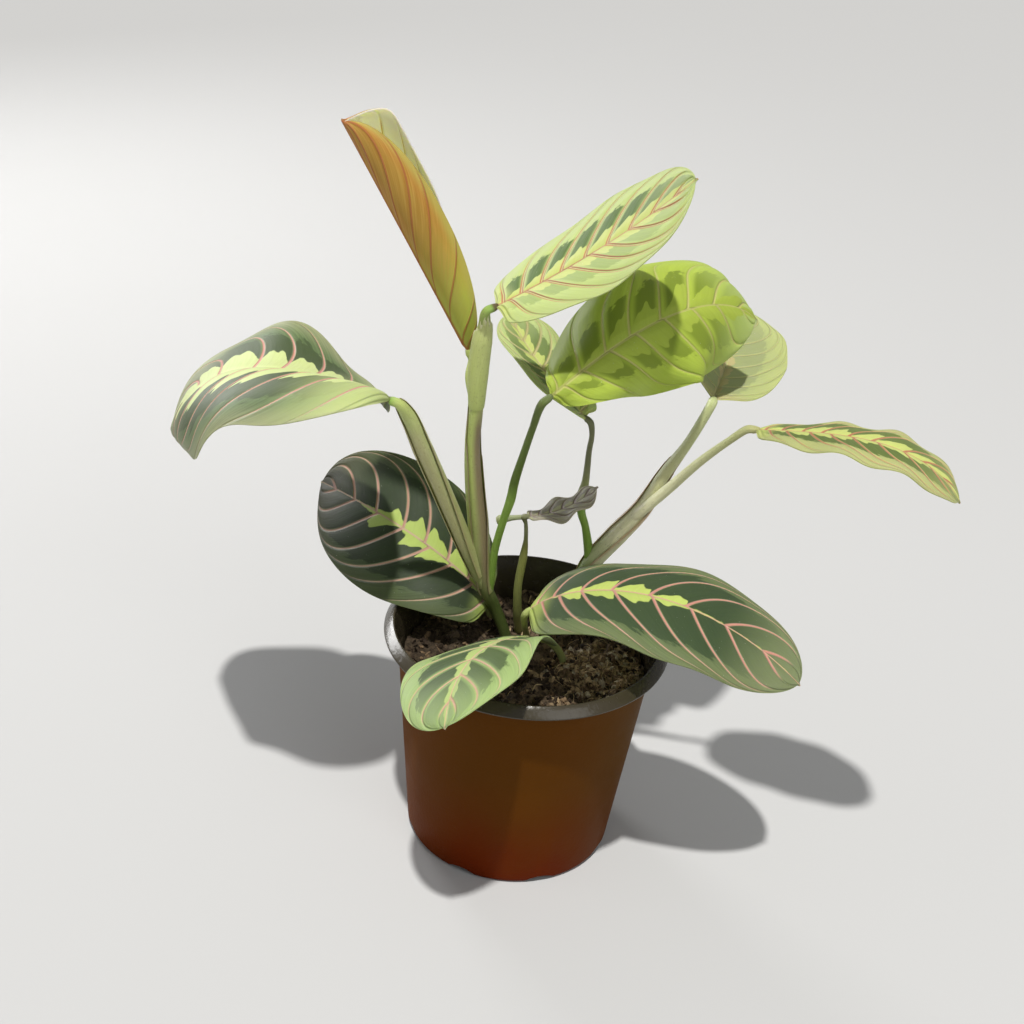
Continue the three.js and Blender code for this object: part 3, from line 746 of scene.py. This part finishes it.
right_shoot = [
    add_limb("right_stem", RIGHT, [
        (0, FRESH_STEM), (0.25, FRESH_STEM), (0.4, CREAM_STEM), (0.6, (0.66, 0.66, 0.38)),
        (0.85, (0.5, 0.56, 0.26)), (1, (0.44, 0.5, 0.22))]),
    add_limb("far_stalk", FAR, [(0, CREAM_STEM), (0.5, (0.5, 0.52, 0.25)), (1, (0.48, 0.46, 0.2))]),
    add_limb("behind_stalk", BEHIND, [
        (0, FRESH_STEM), (0.3, FRESH_STEM), (0.42, OLIVE_STEM), (0.6, GREY_STEM), (1, GREY_STEM)]),
    add_sheath("right_sheath", RIGHT, 0.26, 0.7, 200, [
        (0, (0.5, 0.6, 0.25)), (0.4, CREAM_STEM), (1, PEACH_STEM)], (0.5, 0.34, 0.2), swell=0.4),
]
shoots = {
    "shoot_main": main_shoot,
    "shoot_right": right_shoot,
    "petiole_young": [
        add_limb("young_stalk", YOUNG, [
            (0, OLIVE_STEM), (0.5, (0.26, 0.27, 0.07)), (0.6, GREY_STEM), (1, GREY_STEM)]),
        add_limb("bud", BUD, [(0, (0.35, 0.38, 0.22)), (0.5, (0.3, 0.34, 0.18)), (1, OLIVE_STEM)])],
    "petiole_front_right": [add_limb("front_right_stalk", FRONT_RIGHT, [
        (0, OLIVE_STEM), (1, LIME_STEM)])],
    "petiole_front_left": [add_limb("front_left_stalk", FRONT_LEFT, [
        (0, OLIVE_STEM), (1, LIME_STEM)])],
    "petiole_low_left": [add_limb("low_left_stalk", LOW_LEFT, [
        (0, OLIVE_STEM), (1, OLIVE_STEM)])],
}
for node, pieces in shoots.items():
    shoot = join_pieces(node + "_skin", pieces) if len(pieces) > 1 else pieces[0]
    set_finishes(shoot, sap.material)
    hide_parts(node)
    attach(shoot, "root")


# ------------------------------------------------------------------ leaves
# A leaf is one thin blade, quilted between the red side veins that sweep from its midrib to its
# margin. A feathered lime band follows the midrib, and darker blotches lie beside it between the
# veins. The newest leaf is still rolled up and shows its orange lower side.

BLADE_ROWS, BLADE_COLUMNS, BLADE_THICKNESS, BLADE_TRIM = 150, 75, 0.5, 0.997
SPINE_STEPS, NARROWEST, NIB_LENGTH = 40, 0.9, 1.2
FIRST_VEIN = 0.035


def blade_places(leaf, t, s):
    """Middle surface of a blade in mm, t along the midrib and s from -1 to 1 across it, and how
    far each of its points lies from the midrib."""
    middles = (np.arange(SPINE_STEPS) + 0.5) / SPINE_STEPS
    paths = travel(leaf, t[:, None] * middles).mean(axis=1)
    spine = np.array(leaf["at"]) + BLADE_TRIM * leaf["length"] * t[:, None] * paths
    along = travel(leaf, t)
    heading = np.radians(leaf["heading"] + leaf["turn"] * t)[:, None]
    roll = np.radians(leaf["roll"][0] + (leaf["roll"][1] - leaf["roll"][0]) * t)[:, None]
    right = np.concatenate([np.sin(heading), -np.cos(heading), 0 * heading], -1)
    side = right * np.cos(roll) + np.cross(right, along) * np.sin(roll)
    up = np.cross(side, along)
    half = (s >= 0).astype(int)
    reach = np.abs(s)
    blunt, belly, broad, fold, curl = (
        np.broadcast_to(leaf.get(key, 2.2), 2)[half]
        for key in ("blunt", "belly", "width", "fold", "curl"))
    fold, curl = np.radians(fold), np.radians(curl)
    fullness = 1 - np.abs(2 * t[:, None] ** belly - 1) ** blunt
    width = np.maximum(np.clip(fullness, 0, 1) ** 0.55 * broad / 2, NARROWEST)
    out = width * (np.sin(fold + curl * reach) - np.sin(fold)) / curl
    height, count, phase = leaf["wave"]
    ripple = np.sin(2 * pi * (count * t[:, None] + phase) + (1 - half) * 0.7 * pi)
    ripple = ripple * height * s ** 2 * np.sqrt(np.sin(pi * np.minimum(t, 1)) + 1e-9)[:, None]
    lift = width * (np.cos(fold) - np.cos(fold + curl * reach)) / curl + ripple
    shoulder = (t / 0.1) ** 2 * np.exp(2 - 2 * t / 0.1)
    lobe = leaf.get("lobe", 5) * s ** 2 * shoulder[:, None]
    nib = NIB_LENGTH * np.exp(-(s / 0.3) ** 2) * t[:, None] ** 18
    places = spine[:, None] + side[:, None] * (np.sign(s) * out)[..., None]
    places = places + up[:, None] * lift[..., None] + along[:, None] * (nib - lobe)[..., None]
    return places, width * reach


def vein_ranks(t, s, count, sweep, straight, crowd, seed):
    """Which side vein runs here: whole numbers lie on the veins, and fractions lie between them.
    A vein swings forward near the margin, and leaves the midrib nearly square except at the tip."""
    random = np.random.default_rng(seed)
    swing = (-np.log(1 - 0.9 * np.abs(s))) ** 1.6 * (1 - straight)
    ranks = np.empty((len(t), len(s)))
    for half in (0, 1):
        marks = np.arange(-3, count + 4)
        starts = (1 - FIRST_VEIN) * (np.abs(marks) / count) ** crowd
        starts = FIRST_VEIN + np.where(marks > 0, starts, marks * 0.05)
        starts = starts + random.normal(0, 0.1, len(starts)) * (0.03 + 0.05 * (marks > 1)) + half * 0.02
        late = np.clip((starts - 0.4) / 0.5, 0, 1)
        ease = (0.22 + 0.78 * np.clip(starts / 0.28, 0, 1)) * np.broadcast_to(sweep, 2)[half]
        for column in np.flatnonzero((s >= 0) == bool(half)):
            lean = (1.6 * straight + 1.3 * late) * abs(s[column])
            reach = ease * (swing[column] * (1 - 0.8 * late) + lean)
            ranks[:, column] = np.interp(t, starts + reach, marks)
    return ranks


def add_blade(name, top, under, seed, veins=8, sweep=0.15, straight=0.3, crowd=1.15, quilt=0.35):
    """One leaf: a blade with a grooved midrib, quilted by `quilt` mm between its veins, that
    carries its veins' ranks, their spacing in mm and its points' distance from the midrib."""
    leaf = LEAVES[name]
    t = 0.5 - 0.5 * np.cos(pi * np.linspace(0, 1, BLADE_ROWS))
    spread = np.linspace(-1, 1, BLADE_COLUMNS)
    s = np.sign(spread) * np.abs(spread) ** 1.25
    places, from_rib = blade_places(leaf, t, s)
    step = 1e-3
    t0, t1 = np.clip(t - step, 0, 1), np.clip(t + step, 0, 1)
    s0, s1 = np.clip(s - step, -1, 1), np.clip(s + step, -1, 1)
    forward = blade_places(leaf, t1, s)[0] - blade_places(leaf, t0, s)[0]
    beside = blade_places(leaf, t, s1)[0] - blade_places(leaf, t, s0)[0]
    normal = np.cross(beside, forward)
    normal = normal / np.linalg.norm(normal, axis=-1)[..., None]
    ranks = vein_ranks(t, s, veins, sweep, straight, crowd, seed)
    forward, beside = forward / (t1 - t0)[:, None, None], beside / (s1 - s0)[None, :, None]
    by_t, by_s = np.gradient(ranks, t, axis=0), np.gradient(ranks, s, axis=1)
    e, f, g = ((a * b).sum(-1) for a, b in ((forward, forward), (forward, beside), (beside, beside)))
    slope = (g * by_t ** 2 - 2 * f * by_t * by_s + e * by_s ** 2) / np.maximum(e * g - f * f, 1e-3)
    pace = np.clip(1 / np.sqrt(np.maximum(slope, 1e-6)), 0.3, 30)
    between = np.abs(2 * (ranks - np.floor(ranks)) - 1)
    edge_fade = np.clip((1 - np.abs(s)) / 0.25, 0, 1) * np.clip(from_rib / 3, 0, 1)
    edge_fade = edge_fade * np.clip(pace / 5, 0, 1)
    puff = quilt * (1 - between ** 3) * edge_fade
    groove = 0.35 * np.exp(-(from_rib / 0.9) ** 2) * (1 - t)[:, None]
    places = places + normal * (puff - groove)[..., None]
    uv = np.stack(np.broadcast_arrays(t[:, None], 0.5 + 0.5 * s[None]), -1)
    blade = add_grid(name + "_blade", BLADE_ROWS, BLADE_COLUMNS, places, uv)
    set_finishes(blade, top, under)
    shell = blade.modifiers.new("shell", "SOLIDIFY")
    shell.thickness, shell.offset, shell.material_offset = BLADE_THICKNESS * MM, 0, 1
    bpy.ops.object.modifier_apply(modifier="shell")
    for key, numbers in (("rank", ranks), ("pace", pace), ("from_rib", from_rib)):
        layer = blade.data.attributes.new(key, "FLOAT", "POINT")
        layer.data.foreach_set("value", np.tile(numbers.ravel(), 2).astype(np.float32))
    shape = np.empty(len(blade.data.vertices) * 3)
    blade.data.vertices.foreach_get("co", shape)
    shape = shape.reshape(2, -1, 3)
    taper = ((1 - 0.75 * t) * np.clip(t * 30, 0, 1))[:, None]
    rib = 0.75 * np.exp(-(from_rib / 0.8) ** 2) * taper
    facing = np.sign(((shape[0] - shape[1]) * normal.reshape(-1, 3)).sum())
    lower = 1 if facing > 0 else 0
    shape[lower] -= normal.reshape(-1, 3) * rib.reshape(-1, 1) * MM
    blade.data.vertices.foreach_set("co", shape.ravel())
    blade.data.update()
    bpy.ops.object.shade_smooth_by_angle(angle=radians(60))
    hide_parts("leaf_" + name)
    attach(blade, "root")
    return blade


def read_pattern(finish):
    """The tones that every leaf's drawing starts from: the share of the way along the midrib and
    out to the margin, the place between two veins, the distances in mm from the nearest vein and
    from the midrib, the streaks, 1 on the left half, and the vein's rank."""
    t = finish.node("SeparateXYZ", {}, {0: finish.node("TexCoord", output="UV")})
    s = t.other(1) * 2 - 1
    reach = abs(s)
    rank, pace, from_rib = (
        finish.node("Attribute", {"attribute_name": key}, output="Fac")
        for key in ("rank", "pace", "from_rib"))
    place = rank.math("FRACT")
    off_vein = (0.5 - abs(place - 0.5)) * pace
    left = s.rise(0.01, -0.01)
    streak_map = finish.node("CombineXYZ", {}, {0: rank * 7, 1: reach * 1.6, 2: left * 5})
    streaks = finish.mottle(1.6, 4, streak_map)
    return t, reach, place, off_vein, from_rib, streaks, left, rank


def leaf_top(name, field, blotch, lime, margin, vein, halo, band=0.2, floor=0.4, band_low=0.3,
             band_in=(0.02, 0.2), band_out=(1.0, 0.7), outer=0.9, amount=(1, 1), paler_tip=0.3,
             double=0.0, line=0.5, broken=0.5, gap=0.1, margin_in=0.55, gain=1.25, glow=0.3,
             tip=None, base_end=0.12):
    """The upper side: a lime band with a tooth between each pair of veins, from `base_end` on, then
    the blotches out to the share `outer` of the half width and `gap` away from the veins, the
    field, and the margin. The end of the leaf goes to the colour `tip` by `paler_tip`. A vein is
    `line` mm wide, and two lines where `double` parts them. Pairs are for the left half and the
    right, or the places along the leaf where the band widens and narrows."""
    skin = Finish(name, Specular_IOR_Level=0.14, Subsurface_Weight=glow,
                  Subsurface_Radius=(0.8, 1.0, 0.3), Subsurface_Scale=0.0005 + glow * 0.004)
    t, reach, place, off_vein, from_rib, streaks, left, rank = read_pattern(skin)
    band_left, band_right = band if isinstance(band, tuple) else (band, band)
    band = left * (band_left - band_right) + band_right
    jag_map = skin.node("CombineXYZ", {}, {0: rank * 3.1, 1: reach * 9, 2: left * 7})
    jag = skin.mottle(1.5, 3, jag_map)
    patch = skin.mottle(0.9, 1, skin.node("CombineXYZ", {}, {0: rank + 0.5, 1: left * 9, 2: 0.3}))
    square = place.rise(0.04, 0.3) * place.rise(1.0, 0.78)
    spear = place.rise(0.1, 0.7) * place.rise(1.0, 0.85)
    tooth = square * (1 - left) + spear * left
    notch = skin.node("Math", {"operation": "SINE"}, {0: place * 21 + left * 2})
    along = t.rise(*band_in) * (1 - t.rise(band_out[1], band_out[0])) * (1 - band_low) + band_low
    edge = along * band * (floor + (1 - floor) * tooth * (0.75 + patch * 0.5) + notch * 0.05)
    edge = edge * (1 - broken + patch.rise(0.35, 0.6) * broken)
    in_band = (reach - edge - (jag - 0.5) * 0.06).rise(0.012, -0.012)
    in_band = 1 - (1 - in_band) * (1 - t.rise(base_end, 0.02) * 0.85)
    outer_edge = outer + (jag - 0.5) * 0.3 - abs(place - 0.55) * 0.12
    in_blotch = (reach - outer_edge).rise(0.03, -0.03)
    in_blotch = in_blotch * place.rise(gap * 0.3, gap) * place.rise(1, 1 - gap * 0.8)
    in_blotch = in_blotch * (left * (amount[0] - amount[1]) + amount[1]) * (0.8 + streaks * 0.3)
    near_tip = t.rise(0.66, 1.0) * paler_tip
    flesh = skin.mix(streaks.rise(0.3, 0.72) * 0.6, field, tuple(c * gain for c in field))
    flesh = skin.mix(reach.rise(margin_in, 1.0) * (0.35 + streaks * 0.7), flesh, margin)
    flesh = skin.mix(in_blotch * (1 - near_tip), flesh, blotch)
    flesh = skin.mix(near_tip, flesh, tip or margin)
    flesh = skin.mix(in_band, flesh, skin.mix(streaks, lime, tuple(c * 0.8 for c in lime)))
    known = rank.rise(-0.35, -0.25) * t.rise(0.96, 0.9)
    halo_mask = off_vein.rise(1.0, 0.35) * reach.rise(1.0, 0.5) * 0.45 * known
    flesh = skin.mix(halo_mask, flesh, halo)
    core = abs(off_vein - double) / (line * (1.6 - reach * 1.15))
    core = core.rise(1.15, 0.5) * reach.rise(1.04, 0.8) * known
    blush = skin.mix(reach.rise(0.5, 1.0) * 0.4, vein, halo)
    flesh = skin.mix(core * 0.92, flesh, blush)
    midrib = (from_rib / (1.0 - t * 0.7)).rise(1.0, 0.6)
    flesh = skin.mix(midrib * 0.85, flesh, skin.mix(0.3, vein, halo))
    flesh = skin.mix(reach.rise(0.965, 0.99) * 0.5, flesh, margin)
    specks = skin.mottle(1300, 2).rise(0.74, 0.78)
    flesh = skin.mix(specks * 0.5, flesh, (0.6, 0.62, 0.55))
    relief = off_vein.rise(0, 0.9) + streaks * 0.25 + skin.mottle(700, 3) * 0.12
    return skin.paint(flesh, roughness=0.44 + streaks * 0.16, height=relief, depth=0.0004)


def leaf_under(name, flesh_low, flesh_high, vein, patch=(0.1, 0.14, 0.06), patch_share=0.35,
               base=None, edge=None, line=0.5):
    """The lower side: paler, with the veins standing out and the blotches showing through. `base`
    is the colour near the stalk, and `edge` the colour along the margin."""
    skin = Finish(name, Specular_IOR_Level=0.3, Subsurface_Weight=0.3,
                  Subsurface_Radius=(0.8, 1.0, 0.3), Subsurface_Scale=0.0016)
    t, reach, place, off_vein, from_rib, streaks = read_pattern(skin)[:6]
    flesh = skin.mix(streaks.rise(0.3, 0.7), flesh_low, flesh_high)
    if base:
        flesh = skin.mix((t + (streaks - 0.5) * 0.3).rise(0.6, 0.1), flesh, base)
    if edge:
        flesh = skin.mix(reach.rise(0.75, 0.95) * 0.8, flesh, edge)
    inner = (reach - 0.2).rise(0, 0.1) * (0.75 - reach).rise(0, 0.15) * place.rise(0.05, 0.25)
    flesh = skin.mix(inner * patch_share * (0.5 + streaks), flesh, patch)
    strand = (off_vein / line).rise(1.1, 0.5) * reach.rise(1.02, 0.85)
    flesh = skin.mix(strand * 0.7, flesh, vein)
    flesh = skin.mix((from_rib / (1.2 - t * 0.8)).rise(1.0, 0.6) * 0.8, flesh, vein)
    relief = off_vein.rise(0.7, 0) + streaks * 0.3 + skin.mottle(700, 3) * 0.12
    return skin.paint(flesh, roughness=0.5 + streaks * 0.15, height=relief, depth=0.0003)


ROSE, SHELL_PINK = (0.48, 0.19, 0.11), (0.6, 0.27, 0.22)
dark_look = dict(
    field=(0.08, 0.112, 0.047), blotch=(0.047, 0.072, 0.033), lime=(0.52, 0.62, 0.16),
    margin=(0.14, 0.17, 0.075), vein=SHELL_PINK, halo=(0.52, 0.5, 0.33), outer=0.75, gain=1.9)
pale_look = dict(
    field=(0.42, 0.51, 0.17), blotch=(0.08, 0.13, 0.03), lime=(0.58, 0.64, 0.2),
    margin=(0.46, 0.53, 0.22), vein=ROSE, halo=(0.68, 0.6, 0.32), band=0.34, band_low=0.6,
    outer=0.62)
plain_under = leaf_under("leaf_under", (0.2, 0.26, 0.1), (0.28, 0.34, 0.15), (0.36, 0.36, 0.2))

blades = {
    "upper_right": (leaf_top("leaf_pale_red", **pale_look | dict(
        blotch=(0.06, 0.12, 0.012), amount=(1, 0.35), double=0.5, line=0.26, outer=0.64, band=0.3,
        broken=0.2, gap=0.3)),
        plain_under, dict(veins=9, quilt=0.5, sweep=(0.12, 0.19), straight=0.6)),
    # Partly painted sheen: the tip end is painted paler, partly its own colour and partly the whitish
    # sheen of its sunlit part.
    "mid_right": (leaf_top("leaf_olive", **pale_look | dict(
        field=(0.35, 0.44, 0.06), margin=(0.38, 0.48, 0.08), lime=(0.39, 0.48, 0.07),
        blotch=(0.13, 0.18, 0.018), vein=(0.48, 0.46, 0.16), halo=(0.42, 0.48, 0.12),
        amount=(0.8, 0.7), line=0.4, gap=0.3, outer=0.55, tip=(0.45, 0.55, 0.2), paler_tip=0.7)),
        plain_under, dict(veins=8, quilt=0.8, sweep=0.13, straight=0.6)),
    "far_right": (leaf_top("leaf_mixed", **pale_look | dict(
        field=(0.38, 0.4, 0.16), margin=(0.44, 0.46, 0.2), amount=(0.85, 0.9))),
        plain_under, dict(veins=9)),
    "back_right": (leaf_top("leaf_soft", **pale_look | dict(
        field=(0.38, 0.42, 0.18), blotch=(0.24, 0.26, 0.15), margin=(0.46, 0.5, 0.2),
        lime=(0.52, 0.46, 0.22), vein=(0.44, 0.42, 0.2), halo=(0.44, 0.46, 0.2), band=0.15,
        amount=(0.5, 0.5), line=0.35)), plain_under, dict(veins=8)),
    "behind": (leaf_top("leaf_back", **pale_look | dict(
        field=(0.42, 0.5, 0.2), vein=(0.5, 0.45, 0.22), amount=(0.75, 0.75))),
        plain_under, dict(veins=8)),
    "front_right": (leaf_top("leaf_dark", **dark_look | dict(
        band=0.26, floor=0.3, band_low=0.08, band_in=(0.05, 0.2), band_out=(0.66, 0.4),
        margin=(0.17, 0.2, 0.09), paler_tip=0.7, tip=(0.24, 0.27, 0.14))),
        plain_under, dict(veins=8, sweep=(0.16, 0.15), crowd=1.35)),
    "front_left": (leaf_top("leaf_half", **pale_look | dict(
        field=(0.24, 0.33, 0.12), blotch=(0.055, 0.085, 0.032), lime=(0.45, 0.56, 0.2),
        margin=(0.36, 0.47, 0.19), vein=(0.6, 0.36, 0.26), line=0.38, band=0.16, floor=0.5,
        outer=0.7, paler_tip=0.45, amount=(0.9, 1), gain=1.6, gap=0.25)),
        plain_under, dict(veins=7, straight=0.65)),
    # Painted shadow: the tip end is painted dark brown-olive, the shadow of the upper left leaf above it.
    "low_left": (leaf_top("leaf_darkest", **dark_look | dict(
        field=(0.055, 0.075, 0.037), blotch=(0.034, 0.047, 0.024), band=0.3, band_low=0.05,
        band_in=(0.04, 0.12), band_out=(0.72, 0.55), margin=(0.08, 0.1, 0.04), broken=0.8,
        lime=(0.42, 0.52, 0.14), vein=(0.48, 0.27, 0.21), tip=(0.045, 0.042, 0.014),
        paler_tip=0.9)), plain_under, dict(veins=8)),
    # Partly painted sheen: the tip end is painted pale grey-tan, partly the leaf's own paler tip and
    # partly the grey gleam of light glancing off it.
    "upper_left": (leaf_top("leaf_broad_band", **dark_look | dict(
        field=(0.1, 0.14, 0.06), blotch=(0.065, 0.09, 0.038), margin=(0.36, 0.37, 0.21), band=(0.5, 0.44),
        floor=0.5, margin_in=0.75, band_low=0.35, band_in=(0.0, 0.12), band_out=(1.05, 0.85), broken=0.1,
        lime=(0.62, 0.71, 0.3), line=0.56, tip=(0.42, 0.42, 0.25), paler_tip=0.6, base_end=0.3)),
        leaf_under("leaf_under_olive", (0.05, 0.065, 0.02), (0.1, 0.13, 0.04), (0.2, 0.2, 0.1)),
        dict(veins=8, sweep=(0.17, 0.13), straight=0.45)),
    "young": (leaf_top("leaf_young_top", **pale_look | dict(
        field=(0.3, 0.28, 0.21), blotch=(0.22, 0.2, 0.15), lime=(0.38, 0.37, 0.22),
        margin=(0.36, 0.32, 0.25), vein=(0.2, 0.15, 0.13), halo=(0.36, 0.32, 0.24))),
        leaf_under("leaf_plum_under", (0.16, 0.13, 0.1), (0.24, 0.2, 0.17), (0.3, 0.24, 0.2),
                   (0.1, 0.07, 0.06)), dict(veins=6)),
    # Partly painted light: the inside of the roll is painted near white, its own pale yellow made brighter
    # to stand in for light shining through the rolled blade.
    "rolled": (leaf_top("leaf_rolled_inside", **pale_look | dict(
        field=(0.9, 0.86, 0.62), lime=(0.9, 0.87, 0.62), margin=(0.9, 0.76, 0.62), amount=(0, 0),
        vein=(0.5, 0.24, 0.14), halo=(0.75, 0.66, 0.42), line=0.35, gain=1.05, glow=0.9)),
        leaf_under("leaf_rolled_outside", (0.4, 0.19, 0.028), (0.52, 0.29, 0.06),
                   (0.4, 0.12, 0.045), (0.34, 0.28, 0.05), 0.25, base=(0.44, 0.47, 0.08),
                   edge=(0.46, 0.4, 0.1), line=0.42),
        dict(veins=7, sweep=0.3, straight=0.9, quilt=0.2)),
}
for seed, (name, (top, under, shape)) in enumerate(blades.items(), 1):
    blade = add_blade(name, top, under, seed, **shape)


# ------------------------------------------------------------------ table
# The plant stands on a wide matte grey table top, a plain painted board that only shows its
# shadow.

TABLE_SIZE, TABLE_GREY = 14, (0.53, 0.53, 0.53)
start_piece()
bpy.ops.mesh.primitive_plane_add(size=TABLE_SIZE)
table = bpy.context.object
table.name = "table_top"
table_skin = Finish("table_paint", Specular_IOR_Level=0.1)
table_skin.paint(TABLE_GREY, roughness=0.8)
set_finishes(table, table_skin.material)
